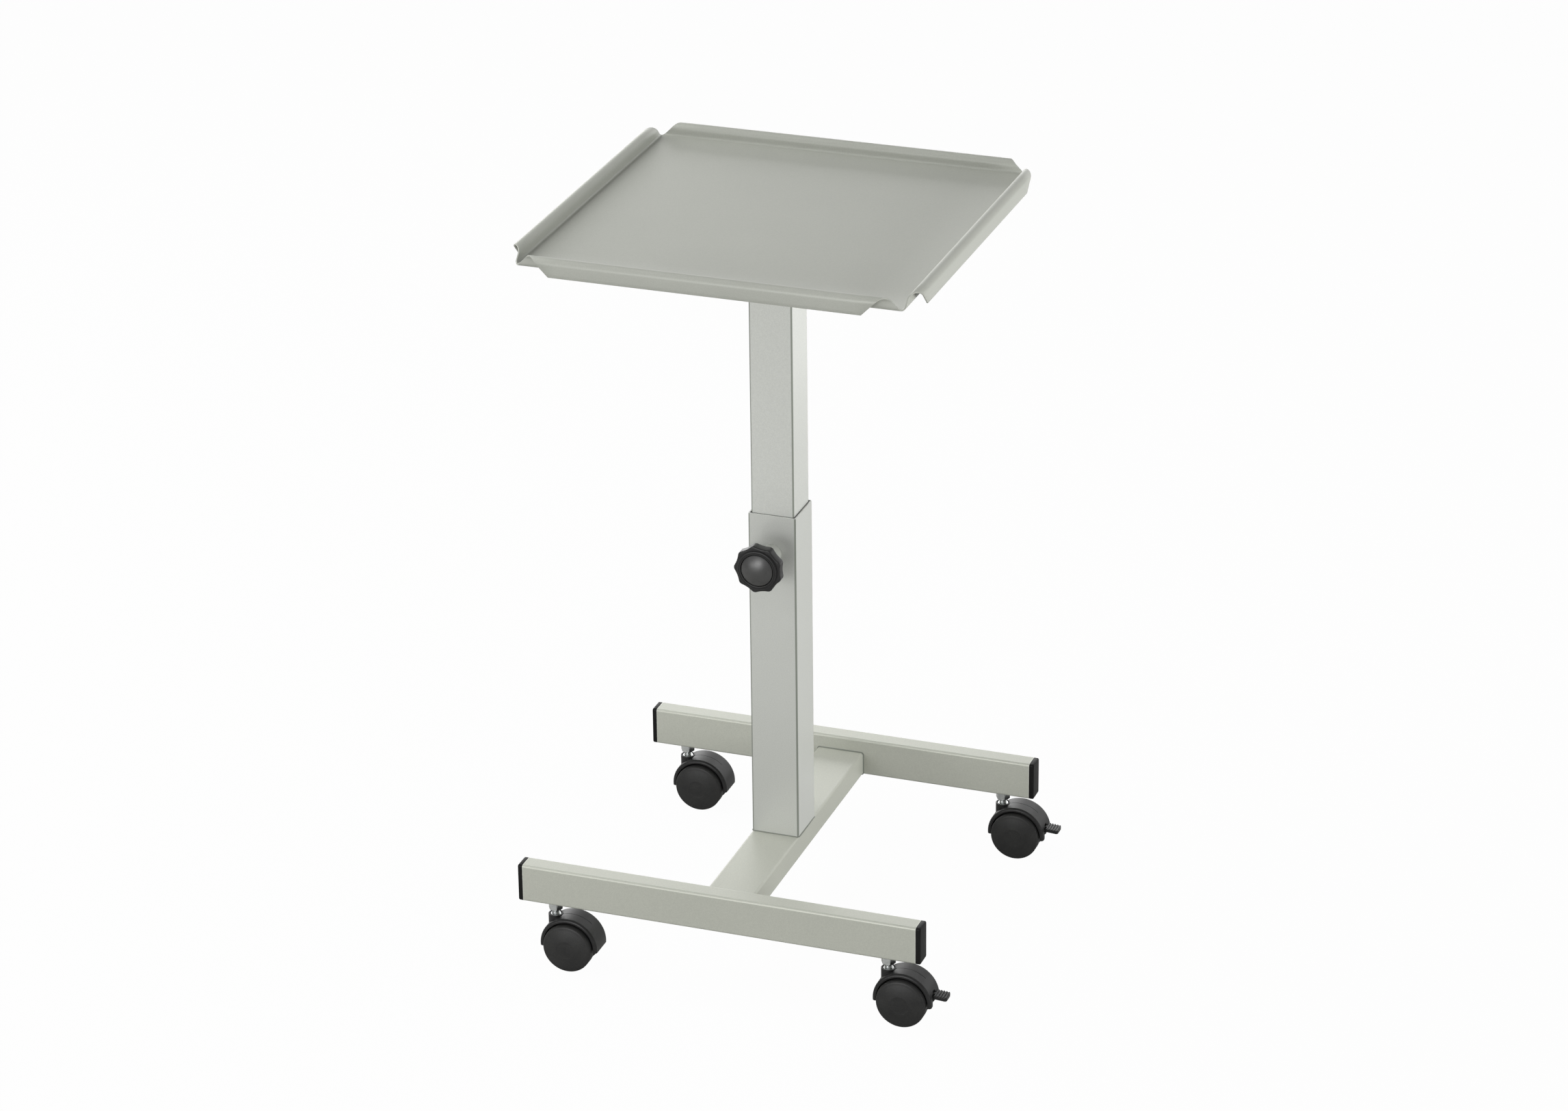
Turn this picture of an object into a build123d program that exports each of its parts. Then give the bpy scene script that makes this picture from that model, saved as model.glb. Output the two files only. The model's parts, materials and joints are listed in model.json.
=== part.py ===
import os
from math import asin, cos, degrees, pi, radians, sin, sqrt, tan

from build123d import *

# Portable stand with a sliding mast: two tube legs on twin-wheel castors, joined by a cross bar,
# carry a square sleeve column. A square mast slides in it, clamped by a star knob, and holds a sheet
# tray with rolled rims. The floor is z = 0, the column stands on the Z axis, the front is -Y.

# Castor wheels and axle
wheel_diameter = 51.0
wheel_width = 12.8  # tread, from the inner face to the rim's edge
wheel_crown = 2.9  # how far the outer face rises from the rim to its middle
wheel_edge = 2.2  # chamfer of the rim's edge
wheel_centre = 19.0  # diameter of the shallow recess in the middle of the outer face
wheel_centre_depth = 0.3
wheel_rim = 4.5  # thickness of the tread ring
wheel_face = 4.0  # thickness of the outer face at the rim
wheel_hub = 12.0  # hub diameter
wheel_side_gap = 0.7  # between a wheel and the web beside it
axle_diameter = 6.0
axle_length = 34.0
axle_end_gap = 0.5  # between the axle's end and the bottom of the wheel's bore
running_gap = 0.05  # radial, for what turns on a pin
seat_gap = 0.02  # radial, for what is pressed home
least_corner = 0.4  # inside a tube whose wall is thicker than its corner

# Castor hood, its neck and the stem
castor_trail = 18.0  # from the swivel axis back to the axle
hood_gap = 1.2  # between the tread and the hood
hood_wall = 3.8
hood_width = 29.0  # narrower than the wheels, which stand proud on both sides
hood_round = 2.7  # rounding of the hood's two rims
hood_drop = 2.7  # hood's lower edge below the axle
web_thickness = 12.0  # plate between the two wheels
web_boss = 17.0  # diameter of the web round the axle
neck_diameter = 15.0
neck_drop = 1.5  # neck's top below the hood's crown
neck_cup_diameter = 12.4  # recess in the neck's top, round the stem's collar
neck_cup_depth = 2.6
seam_width = 0.5  # groove along the middle of the hood, where the mould parts
seam_depth = 0.4
seam_start = 48.0  # the groove's lower end, as an angle above the hood's back edge
seam_end = 112.0  # its upper end, at the neck
stem_diameter = 8.0
stem_depth = 18.0  # stem inside the neck
stem_bore_end = 0.6  # below the stem's end
stem_exposed = 13.0  # between the neck and the leg
stem_nut_flats = 13.0
stem_nut_height = 8.0
stem_collar_diameter = 11.0
stem_collar_height = 2.0
stem_collar_gap = 0.4  # between the collar and the bottom of the neck's recess
stem_top = 12.0  # stem inside the leg
stem_hole_gap = 0.1

# Brake pedal on the right-hand castors
pedal_pivot_back = 14.0  # pivot behind the axle
pedal_pivot_rise = 8.0  # pivot above the axle
pedal_tilt = 4.0  # how far the pedal slopes down at rest
pedal_width = 14.0
pedal_length = 13.6  # tread plate
pedal_thickness = 3.4
pedal_corner = 2.5
pedal_rib_count = 5
pedal_rib_width = 1.3
pedal_rib_height = 0.8
pedal_arm_width = 4.0
pedal_arm_back = 3.0  # arm in front of the pivot
pedal_arm_root = 1.0  # arm inside the tread plate
pedal_pin = 4.0  # trunnion diameter
pedal_side_gap = 0.5  # beside the arm in its slot
pedal_notch_gap = 1.2  # round the arm and the tread plate in the hood
pedal_reach_gap = 1.0  # between the hood's back and the tread plate
pedal_relief = 2.4  # depth of the hood's recess that the tread plate swings into

# Legs, end caps and cross bar
leg_length = 414.0
leg_height = 40.0
leg_width = 20.0
leg_wall = 1.5
leg_corner = 2.4
leg_spacing = 375.0  # between the legs' centre lines
stem_inset = 31.0  # stem's axis in from the leg's end
cap_head = 5.0
cap_edge = 1.2  # chamfer round the head
cap_plug = 14.0
cap_fit = 0.3
bar_height = 25.0
bar_wall = 2.0
bar_corner = 2.5
bar_bevel = 1.2  # weld bevel round the bar's ends

# Sleeve column and mast
column_size = 50.0
column_wall = 2.0
column_corner = 2.2
column_length = 353.0
column_mouth = 0.4  # chamfer round the sleeve's mouth
mast_gap = 0.5  # on each side, between the sleeve and the mast
mast_wall = 2.0
mast_corner = 2.0
mast_length = 440.0
mast_reach = 298.5  # mast above the sleeve

# Clamp: boss on the sleeve, screw and star knob
knob_drop = 40.5  # knob's axis below the sleeve's mouth
boss_diameter = 20.0
boss_length = 12.0
boss_chamfer = 1.0
screw_diameter = 8.0
screw_tip_gap = 0.3  # between the screw and the mast
screw_seat = 7.0  # screw inside the knob's lobed body
knob_diameter = 50.0
knob_thickness = 10.5
knob_standoff = 20.0  # between the boss and the lobed body
knob_lobes = 9
knob_phase = 21.0
flute_radius = 30.0
flute_depth = 1.9
knob_edge = 1.0  # chamfer of the body's two rims
hub_diameter = 20.0
hub_length = 15.5
collar_diameter = 41.0
collar_height = 2.4
collar_chamfer = 0.8
cap_disc_diameter = 33.0
cap_disc_gap = 0.3  # groove round the cap disc
cap_disc_edge = 1.9  # height of the disc at its edge
cap_disc_dome = 2.9

# Tray and the plate that carries it
plate_size = 120.0
plate_thickness = 4.0
plate_corner = 8.0
tray_sheet = 1.5
tray_floor = 382.6  # flat floor between the bends
tray_corner_reach = 1.9  # floor's corner beyond the bend line
mitre_angle = 45.0  # cut at the flat blank's corners, which draws in the ends of each rim along the sheet
bend_radius = 3.6  # floor to inner wall, outside
rim_wall = 4.7  # straight height of the inner wall
crest_radius = 4.4  # inside
rim_flange = 12.0  # straight height of the outer flange
crest_steps = 6  # straight steps of the end's cut over the crest

# Levels and places worked out from the sizes above
wheel_radius = wheel_diameter / 2
axle_level = wheel_radius
wheel_inner_face = web_thickness / 2 + wheel_side_gap
hood_inner = wheel_radius + hood_gap
hood_outer = hood_inner + hood_wall
neck_top = axle_level + hood_outer - neck_drop
leg_bottom = neck_top + stem_exposed
leg_middle = leg_bottom + leg_height / 2
stem_spacing = leg_length - 2 * stem_inset
bar_top = leg_bottom + bar_height
column_top = bar_top + column_length
mast_size = column_size - 2 * column_wall - 2 * mast_gap
mast_top = column_top + mast_reach
plate_top = mast_top + plate_thickness
knob_level = column_top - knob_drop
boss_face = column_size / 2 + boss_length
knob_back = boss_face + knob_standoff
knob_front = knob_back + knob_thickness

corners = {
    "front_left": (-1, -1),
    "front_right": (1, -1),
    "rear_left": (-1, 1),
    "rear_right": (1, 1),
}

os.makedirs("parts", exist_ok=True)


def save(piece, name):
    piece.label = name
    export_step(piece, f"parts/{name}.step")


def stem_place(side):
    return side[0] * stem_spacing / 2, side[1] * leg_spacing / 2


def side_plane(side):
    # upright plane through the castor's middle, centred on its axle, with local x along +X and y up
    stem_x, stem_y = stem_place(side)
    return Plane((stem_x + castor_trail, stem_y, axle_level), x_dir=(1, 0, 0), z_dir=(0, -1, 0))


def end_plane(side):
    # upright plane across a leg's end, facing outwards along X
    origin = (side[0] * leg_length / 2, side[1] * leg_spacing / 2, leg_middle)
    return Plane(origin, x_dir=(0, side[0], 0), z_dir=(side[0], 0, 0))


def lever_plane(side):
    # the pedal's own plane, centred on its pivot and tilted with it
    hub = side_plane(side).from_local_coords((pedal_pivot_back, pedal_pivot_rise))
    slope = radians(pedal_tilt)
    return Plane(hub, x_dir=(cos(slope), 0, -sin(slope)), z_dir=(0, -1, 0))


def square_tube(plane, width, height, wall, corner, length):
    # tube of rounded box section, drawn on its end plane; the bore's corners keep the wall's thickness
    with BuildPart() as tube:
        with BuildSketch(plane):
            RectangleRounded(width, height, corner)
            bore_corner = max(corner - wall, least_corner)
            RectangleRounded(width - 2 * wall, height - 2 * wall, bore_corner, mode=Mode.SUBTRACT)
        extrude(amount=length)
    return tube.part


# Legs: tubes along X with holes below for the castor stems
for leg_name, leg_side in (("front_leg", -1), ("rear_leg", 1)):
    leg_y = leg_side * leg_spacing / 2
    leg_end = Plane((-leg_length / 2, leg_y, leg_middle), x_dir=(0, 1, 0), z_dir=(1, 0, 0))
    with BuildPart() as leg:
        add(square_tube(leg_end, leg_width, leg_height, leg_wall, leg_corner, leg_length))
        with BuildSketch(Plane.XY.offset(leg_bottom)):
            with Locations((-stem_spacing / 2, leg_y), (stem_spacing / 2, leg_y)):
                Circle(stem_diameter / 2 + stem_hole_gap)
        extrude(amount=leg_wall, mode=Mode.SUBTRACT)
    save(leg.part, leg_name)

# End caps: a bevelled head flush with the tube and a plug inside it
for corner_name, side in corners.items():
    with BuildPart() as end_cap:
        with BuildSketch(end_plane(side)):
            RectangleRounded(leg_width, leg_height, leg_corner)
        extrude(amount=cap_head)
        chamfer(end_cap.faces().sort_by(Axis.X)[-1 if side[0] > 0 else 0].edges(), cap_edge)
        with BuildSketch(end_plane(side)):
            inset = 2 * (leg_wall + cap_fit)
            RectangleRounded(leg_width - inset, leg_height - inset, max(leg_corner - leg_wall, least_corner))
        extrude(amount=-cap_plug)
    save(end_cap.part, f"cap_{corner_name}")

# Cross bar between the legs' inner faces, as wide as the column that stands on it, bevelled to be welded
bar_length = leg_spacing - leg_width
bar_end = Plane(
    (0, -bar_length / 2, leg_bottom + bar_height / 2), x_dir=(-1, 0, 0), z_dir=(0, 1, 0)
)
with BuildPart() as cross_bar:
    add(square_tube(bar_end, column_size, bar_height, bar_wall, bar_corner, bar_length))
    for bar_face in (cross_bar.faces().sort_by(Axis.Y)[0], cross_bar.faces().sort_by(Axis.Y)[-1]):
        chamfer(bar_face.outer_wire().edges(), bar_bevel)
save(cross_bar.part, "cross_bar")

# Sleeve column, with a hole for the clamp screw in its front wall
with BuildPart() as lower_column:
    add(square_tube(Plane.XY.offset(bar_top), column_size, column_size, column_wall, column_corner,
                    column_length))
    with BuildSketch(Plane((0, 0, knob_level), x_dir=(1, 0, 0), z_dir=(0, -1, 0))):
        Circle(screw_diameter / 2 + running_gap)
    extrude(amount=column_size / 2, mode=Mode.SUBTRACT)
    chamfer(lower_column.faces().sort_by(Axis.Z)[-1].outer_wire().edges(), column_mouth)
save(lower_column.part, "lower_column")

# Clamp boss welded on the sleeve's front face
clamp_plane = Plane((0, -column_size / 2, knob_level), x_dir=(1, 0, 0), z_dir=(0, -1, 0))
with BuildPart() as clamp_boss:
    with BuildSketch(clamp_plane):
        Circle(boss_diameter / 2)
        Circle(screw_diameter / 2 + running_gap, mode=Mode.SUBTRACT)
    extrude(amount=boss_length)
    rim_edge = clamp_boss.edges().filter_by(GeomType.CIRCLE).group_by(Axis.Y)[0].sort_by(Edge.length)[-1]
    chamfer(rim_edge, boss_chamfer)
save(clamp_boss.part, "clamp_boss")

# Clamp screw, from just short of the mast into the knob
screw_tip = mast_size / 2 + screw_tip_gap
with BuildPart() as clamp_screw:
    with BuildSketch(Plane((0, -screw_tip, knob_level), x_dir=(1, 0, 0), z_dir=(0, -1, 0))):
        Circle(screw_diameter / 2)
    extrude(amount=knob_back + screw_seat - screw_tip)
save(clamp_screw.part, "clamp_screw")

# Star knob: turned body, fluted; round hub behind, collar with a seat for the cap disc
knob_plane = Plane((0, -knob_back, knob_level), x_dir=(1, 0, 0), z_dir=(0, -1, 0))
front_plane = knob_plane.offset(knob_thickness)
turning_plane = Plane(knob_plane.origin, x_dir=(0, -1, 0), z_dir=(1, 0, 0))
with BuildPart() as knob:
    with BuildSketch(turning_plane):
        Polygon(
            (0, 0),
            (0, knob_diameter / 2 - knob_edge),
            (knob_edge, knob_diameter / 2),
            (knob_thickness - knob_edge, knob_diameter / 2),
            (knob_thickness, knob_diameter / 2 - knob_edge),
            (knob_thickness, 0),
            align=None,
        )
    revolve(axis=Axis((0, 0, knob_level), (0, 1, 0)))
    with BuildSketch(knob_plane):
        flute_centre = knob_diameter / 2 + flute_radius - flute_depth
        with PolarLocations(flute_centre, knob_lobes, start_angle=knob_phase + 180 / knob_lobes):
            Circle(flute_radius)
    extrude(amount=knob_thickness, mode=Mode.SUBTRACT)
    with BuildSketch(knob_plane):
        Circle(hub_diameter / 2)
    extrude(amount=-hub_length)
    with BuildSketch(front_plane):
        Circle(collar_diameter / 2)
    extrude(amount=collar_height)
    chamfer(knob.faces().sort_by(Axis.Y)[0].edges(), collar_chamfer)
    with BuildSketch(front_plane):
        Circle(cap_disc_diameter / 2 + cap_disc_gap)
    extrude(amount=collar_height, mode=Mode.SUBTRACT)
    with BuildSketch(knob_plane.offset(-hub_length)):
        Circle(screw_diameter / 2 + seat_gap)
    extrude(amount=hub_length + screw_seat, mode=Mode.SUBTRACT)
save(knob.part, "knob")

# Domed cap disc seated in the knob's collar
disc_plane = Plane((0, -knob_front, knob_level), x_dir=(0, -1, 0), z_dir=(1, 0, 0))
with BuildPart() as knob_cap:
    with BuildSketch(disc_plane):
        with BuildLine():
            disc_radius = cap_disc_diameter / 2
            apex = cap_disc_edge + cap_disc_dome
            foot = Polyline((apex, 0), (0, 0), (0, disc_radius), (cap_disc_edge, disc_radius))
            TangentArc(foot @ 0, foot @ 1, tangent=(0, 1))
        make_face()
    revolve(axis=Axis((0, 0, knob_level), (0, 1, 0)))
save(knob_cap.part, "knob_cap")

# Mast, and the plate welded on its top
mast_end = Plane.XY.offset(mast_top - mast_length)
save(square_tube(mast_end, mast_size, mast_size, mast_wall, mast_corner, mast_length), "upper_column")

with BuildPart() as tray_plate:
    with BuildSketch(Plane.XY.offset(mast_top)):
        RectangleRounded(plate_size, plate_size, plate_corner)
    extrude(amount=plate_thickness)
save(tray_plate.part, "tray_plate")

# One rim of the tray: the sheet turns up, over a half-round crest and down to a plain flange
bend_line = tray_floor / 2
floor_corner = bend_line + tray_corner_reach
rim_plane = Plane((0, 0, plate_top), x_dir=(1, 0, 0), z_dir=(0, -1, 0))
wall_x = bend_line + bend_radius
crest_level = bend_radius + rim_wall
flange_x = wall_x + 2 * crest_radius
tip_level = crest_level - rim_flange
with BuildPart() as rim:
    with BuildSketch(rim_plane):
        with BuildLine():
            lead = Line((bend_line - tray_corner_reach, 0), (bend_line, 0))
            bend = JernArc(lead @ 1, lead % 1, bend_radius, 90)
            wall = PolarLine(bend @ 1, rim_wall, direction=bend % 1)
            crest = JernArc(wall @ 1, wall % 1, crest_radius, -180)
            PolarLine(crest @ 1, rim_flange, direction=crest % 1)
            offset(amount=tray_sheet, side=Side.LEFT)
        make_face()
    extrude(amount=floor_corner, both=True)

    # the ends draw in along the sheet, as far as the flat blank's corner cut takes them
    draw_in = tan(radians(mitre_angle))
    wall_used = (bend_radius - tray_sheet / 2) * pi / 2 + rim_wall
    crest_turn = crest_radius + tray_sheet / 2
    wall_end = floor_corner - wall_used * draw_in
    crest_end = wall_end - crest_turn * pi * draw_in
    tip_end = crest_end - rim_flange * draw_in
    above = crest_level + crest_radius + 2 * tray_sheet
    below = tip_level - tray_sheet
    beyond = floor_corner + tray_sheet
    crest_cut = []
    for step in range(crest_steps + 1):
        turn = pi * step / crest_steps
        crest_cut.append((wall_x + crest_radius * (1 - cos(turn)), wall_end - crest_turn * turn * draw_in))
    for end in (-1, 1):
        with BuildSketch(Plane((bend_line, 0, plate_top), x_dir=(0, end, 0), z_dir=(end, 0, 0))):
            Polygon(
                (floor_corner, 0), (beyond, 0), (beyond, above), (wall_end, above), (wall_end, crest_level),
                align=None,
            )
        extrude(amount=end * bend_radius, mode=Mode.SUBTRACT)
        with BuildSketch(Plane.XY.offset(plate_top + below)):
            cut_line = [(x, end * y) for x, y in crest_cut]
            Polygon(*cut_line, (flange_x, end * beyond), (wall_x, end * beyond), align=None)
        extrude(amount=above - below, mode=Mode.SUBTRACT)
        with BuildSketch(Plane((flange_x, 0, plate_top), x_dir=(0, end, 0), z_dir=(end, 0, 0))):
            Polygon(
                (crest_end, crest_level), (crest_end, above), (beyond, above), (beyond, below),
                (tip_end, below), (tip_end, tip_level), align=None,
            )
        extrude(amount=end * 2 * tray_sheet, mode=Mode.SUBTRACT)

# Tray: a flat floor with the same rim on its four sides and open corners
with BuildPart() as tray:
    with BuildSketch(Plane.XY.offset(plate_top)):
        Rectangle(tray_floor, tray_floor)
    extrude(amount=tray_sheet)
    with PolarLocations(0, 4):
        add(rim.part)
save(tray.part, "tray")

# Castors: stem, hood, axle, two wheels, and a brake pedal on the right-hand ones
for corner_name, side in corners.items():
    stem_x, stem_y = stem_place(side)
    across = side_plane(side)
    axle_x = across.origin.X
    braked = side[0] > 0

    with BuildPart() as stem:
        with BuildSketch(Plane.XY.offset(neck_top - stem_depth)):
            with Locations((stem_x, stem_y)):
                Circle(stem_diameter / 2)
        extrude(amount=stem_depth + stem_exposed + stem_top)
        with BuildSketch(Plane.XY.offset(neck_top - neck_cup_depth + stem_collar_gap)):
            with Locations((stem_x, stem_y)):
                Circle(stem_collar_diameter / 2)
        extrude(amount=stem_collar_height)
        with BuildSketch(Plane.XY.offset(leg_bottom - stem_nut_height)):
            with Locations((stem_x, stem_y)):
                RegularPolygon(stem_nut_flats / 2, 6, major_radius=False)
        extrude(amount=stem_nut_height)
    save(stem.part, f"stem_{corner_name}")

    with BuildPart() as hood:
        with BuildSketch(across):
            with BuildLine():
                drop_angle = degrees(asin(hood_drop / hood_outer))
                crown = CenterArc((0, 0), hood_outer, -drop_angle, 180 + 2 * drop_angle)
                Line(crown @ 1, crown @ 0)
            make_face()
        extrude(amount=hood_width / 2, both=True)
        fillet(hood.edges().filter_by(GeomType.CIRCLE), hood_round)
        with BuildSketch(Plane.XY.offset(axle_level + hood_inner / 3)):
            with Locations((stem_x, stem_y)):
                Circle(neck_diameter / 2)
        extrude(amount=neck_top - axle_level - hood_inner / 3)
        for face_side in (-1, 1):
            with BuildSketch(across.offset(face_side * web_thickness / 2)):
                Circle(hood_inner)
            extrude(amount=face_side * hood_width, mode=Mode.SUBTRACT)
        with BuildSketch(across):
            Circle(web_boss / 2)
        extrude(amount=web_thickness / 2, both=True)
        with BuildSketch(across):
            Circle(axle_diameter / 2 + seat_gap)
        extrude(amount=web_thickness, both=True, mode=Mode.SUBTRACT)
        with BuildSketch(Plane.XY.offset(neck_top)):
            with Locations((stem_x, stem_y)):
                Circle(stem_diameter / 2 + running_gap)
        extrude(amount=-stem_depth - stem_bore_end, mode=Mode.SUBTRACT)
        with BuildSketch(Plane.XY.offset(neck_top)):
            with Locations((stem_x, stem_y)):
                Circle(neck_cup_diameter / 2)
        extrude(amount=-neck_cup_depth, mode=Mode.SUBTRACT)
        with BuildSketch(across):
            with BuildLine():
                seam_bottom = CenterArc((0, 0), hood_outer - seam_depth, seam_start, seam_end - seam_start)
                seam_top = CenterArc((0, 0), hood_outer + seam_depth, seam_start, seam_end - seam_start)
                Line(seam_bottom @ 0, seam_top @ 0)
                Line(seam_bottom @ 1, seam_top @ 1)
            make_face()
        extrude(amount=seam_width / 2, both=True, mode=Mode.SUBTRACT)
        if braked:
            slot_start = pedal_pivot_back - pedal_arm_back - pedal_notch_gap
            slot_top = pedal_pivot_rise + pedal_thickness / 2 + pedal_notch_gap
            with BuildSketch(across):
                with Locations((slot_start, slot_top)):
                    Rectangle(hood_outer, 2 * slot_top, align=(Align.MIN, Align.MAX))
            extrude(amount=pedal_arm_width / 2 + pedal_side_gap, both=True, mode=Mode.SUBTRACT)
            relief_top = pedal_pivot_rise - pedal_notch_gap
            with BuildSketch(across):
                with Locations((hood_outer - pedal_relief, relief_top)):
                    Rectangle(hood_outer, 2 * relief_top, align=(Align.MIN, Align.MAX))
            extrude(amount=pedal_width / 2 + pedal_notch_gap, both=True, mode=Mode.SUBTRACT)
            with BuildSketch(lever_plane(side)):
                Circle(pedal_pin / 2 + running_gap)
            extrude(amount=web_thickness, both=True, mode=Mode.SUBTRACT)
    save(hood.part, f"hood_{corner_name}")

    with BuildPart() as axle:
        with BuildSketch(across):
            Circle(axle_diameter / 2)
        extrude(amount=axle_length / 2, both=True)
    save(axle.part, f"axle_{corner_name}")

    for face_name, face_side in (("front", -1), ("back", 1)):
        profile_plane = Plane((axle_x, stem_y, axle_level), x_dir=(0, face_side, 0), z_dir=(face_side, 0, 0))
        rim_face = wheel_inner_face + wheel_width
        bore = axle_diameter / 2 + running_gap
        bore_end = axle_length / 2 + axle_end_gap
        recess = rim_face - wheel_face
        centre_face = rim_face + wheel_crown
        centre_level = centre_face - wheel_centre_depth
        with BuildPart() as wheel:
            with BuildSketch(profile_plane):
                with BuildLine():
                    Polyline(
                        (centre_level, 0),
                        (bore_end, 0),
                        (bore_end, bore),
                        (wheel_inner_face, bore),
                        (wheel_inner_face, wheel_hub / 2),
                        (recess, wheel_hub / 2),
                        (recess, wheel_radius - wheel_rim),
                        (wheel_inner_face, wheel_radius - wheel_rim),
                        (wheel_inner_face, wheel_radius),
                        (rim_face - wheel_edge, wheel_radius),
                        (rim_face, wheel_radius - wheel_edge),
                        (centre_face, wheel_centre / 2),
                        (centre_level, wheel_centre / 2),
                        close=True,
                    )
                make_face()
            revolve(axis=Axis((axle_x, stem_y, axle_level), (0, 1, 0)))
        save(wheel.part, f"wheel_{corner_name}_{face_name}")

    if braked:
        lever = lever_plane(side)
        lever_top = Plane(lever.origin, x_dir=lever.x_dir, z_dir=lever.y_dir)
        plate_start = sqrt((hood_outer + pedal_reach_gap) ** 2 - pedal_pivot_rise**2) - pedal_pivot_back
        plate_middle = plate_start + pedal_length / 2
        rib_pitch = pedal_length / pedal_rib_count
        with BuildPart() as pedal:
            with BuildSketch(lever):
                with Locations((plate_middle, 0)):
                    Rectangle(pedal_length, pedal_thickness)
                with Locations((plate_middle, pedal_thickness / 2)):
                    with GridLocations(rib_pitch, 0, pedal_rib_count, 1):
                        Rectangle(pedal_rib_width, pedal_rib_height, align=(Align.CENTER, Align.MIN))
            extrude(amount=pedal_width / 2, both=True)
            with BuildSketch(lever_top) as pedal_outline:
                with Locations((plate_middle, 0)):
                    Rectangle(pedal_length, pedal_width)
                fillet(pedal_outline.vertices().group_by(Axis.X)[-1], pedal_corner)
            extrude(amount=pedal_thickness, both=True, mode=Mode.INTERSECT)
            with BuildSketch(lever):
                with Locations((-pedal_arm_back, 0)):
                    Rectangle(pedal_arm_back + plate_start + pedal_arm_root, pedal_thickness,
                              align=(Align.MIN, Align.CENTER))
            extrude(amount=pedal_arm_width / 2, both=True)
            with BuildSketch(lever):
                Circle(pedal_pin / 2)
            extrude(amount=web_thickness / 2, both=True)
        save(pedal.part, f"pedal_{corner_name}")
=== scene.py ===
import json
from math import asin, atan2, cos, degrees, pi, radians, sin, sqrt

import bmesh
import bpy
from mathutils import Matrix, Vector

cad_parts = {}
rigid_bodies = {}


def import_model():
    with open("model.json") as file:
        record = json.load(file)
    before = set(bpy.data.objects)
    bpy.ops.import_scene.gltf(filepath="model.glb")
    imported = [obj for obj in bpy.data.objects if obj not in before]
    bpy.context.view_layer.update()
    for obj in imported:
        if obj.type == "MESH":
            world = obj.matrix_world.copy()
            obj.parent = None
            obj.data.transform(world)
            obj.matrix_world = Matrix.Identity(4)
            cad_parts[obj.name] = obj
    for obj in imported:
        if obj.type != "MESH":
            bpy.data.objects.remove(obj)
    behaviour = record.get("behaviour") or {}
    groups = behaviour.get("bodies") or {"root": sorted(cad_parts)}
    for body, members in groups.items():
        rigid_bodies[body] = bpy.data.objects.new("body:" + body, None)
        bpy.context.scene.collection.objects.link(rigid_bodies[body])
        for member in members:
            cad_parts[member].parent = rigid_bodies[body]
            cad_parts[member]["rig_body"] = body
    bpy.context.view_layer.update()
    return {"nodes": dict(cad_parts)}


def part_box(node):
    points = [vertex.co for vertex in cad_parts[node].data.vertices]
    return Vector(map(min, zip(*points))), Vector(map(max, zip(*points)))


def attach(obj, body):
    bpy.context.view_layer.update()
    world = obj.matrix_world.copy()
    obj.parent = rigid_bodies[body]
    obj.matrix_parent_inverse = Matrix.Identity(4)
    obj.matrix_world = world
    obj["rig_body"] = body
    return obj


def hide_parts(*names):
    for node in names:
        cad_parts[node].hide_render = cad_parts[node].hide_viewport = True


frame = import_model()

mm = 0.001
nodes = frame["nodes"]
corners = ("front_left", "front_right", "rear_left", "rear_right")
roundSegments = 96  # facets round a turned or moulded piece
quarterTurn = [radians(t) for t in range(0, 91, 15)]  # angles of a rounded edge
print("frame loaded:", len(nodes), "nodes")

# camera at the photograph's place, found from the tubes' known sections
view = {
    "azimuth": 19.944,
    "elevation": 24.215,
    "roll": -0.641,
    "target": (0.00355, 0.0, 0.39252),
    "distance": 4.9908,
    "lens": 114.99,  # for a 36 mm wide sensor
    "sensor": 36.0,
}


def addCamera():
    azimuth, elevation, roll = (radians(view[key]) for key in ("azimuth", "elevation", "roll"))
    back = Vector((sin(azimuth) * cos(elevation), -cos(azimuth) * cos(elevation), sin(elevation)))
    level = Vector((0, 0, 1)).cross(back).normalized()
    upright = back.cross(level)
    right = level * cos(roll) + upright * sin(roll)
    up = back.cross(right)
    data = bpy.data.cameras.new("photo_view")
    data.sensor_width = view["sensor"]
    data.lens = view["lens"]
    camera = bpy.data.objects.new("photo_view", data)
    turn = Matrix((right, up, back)).transposed().to_4x4()
    camera.matrix_world = Matrix.Translation(Vector(view["target"]) + back * view["distance"]) @ turn
    bpy.context.scene.collection.objects.link(camera)
    bpy.context.scene.camera = camera


addCamera()
bpy.context.scene.view_settings.view_transform = "Standard"
print("camera placed")


# colours are written as sRGB hex and used as linear
def hexLinear(text):
    channels = [int(text[i:i + 2], 16) / 255 for i in (1, 3, 5)]
    return [c / 12.92 if c <= 0.04045 else ((c + 0.055) / 1.055) ** 2.4 for c in channels] + [1.0]


# one node with its settings and links; a key that names a socket sets or feeds that socket
def addNode(tree, kind, settings=None, links=None):
    node = tree.nodes.new(kind)
    for key, value in (settings or {}).items():
        if isinstance(key, str) and hasattr(node, key):
            setattr(node, key, value)
        else:
            node.inputs[key].default_value = value
    for key, (source, output) in (links or {}).items():
        tree.links.new(source.outputs[output], node.inputs[key])
    return node


def newMaterial(name):
    material = bpy.data.materials.new(name)
    material.use_nodes = True
    tree = material.node_tree
    tree.nodes.clear()
    place = addNode(tree, "ShaderNodeTexCoord")
    return material, tree, place


def endMaterial(tree, shader):
    addNode(tree, "ShaderNodeOutputMaterial", links={"Surface": (shader, 0)})


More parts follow.
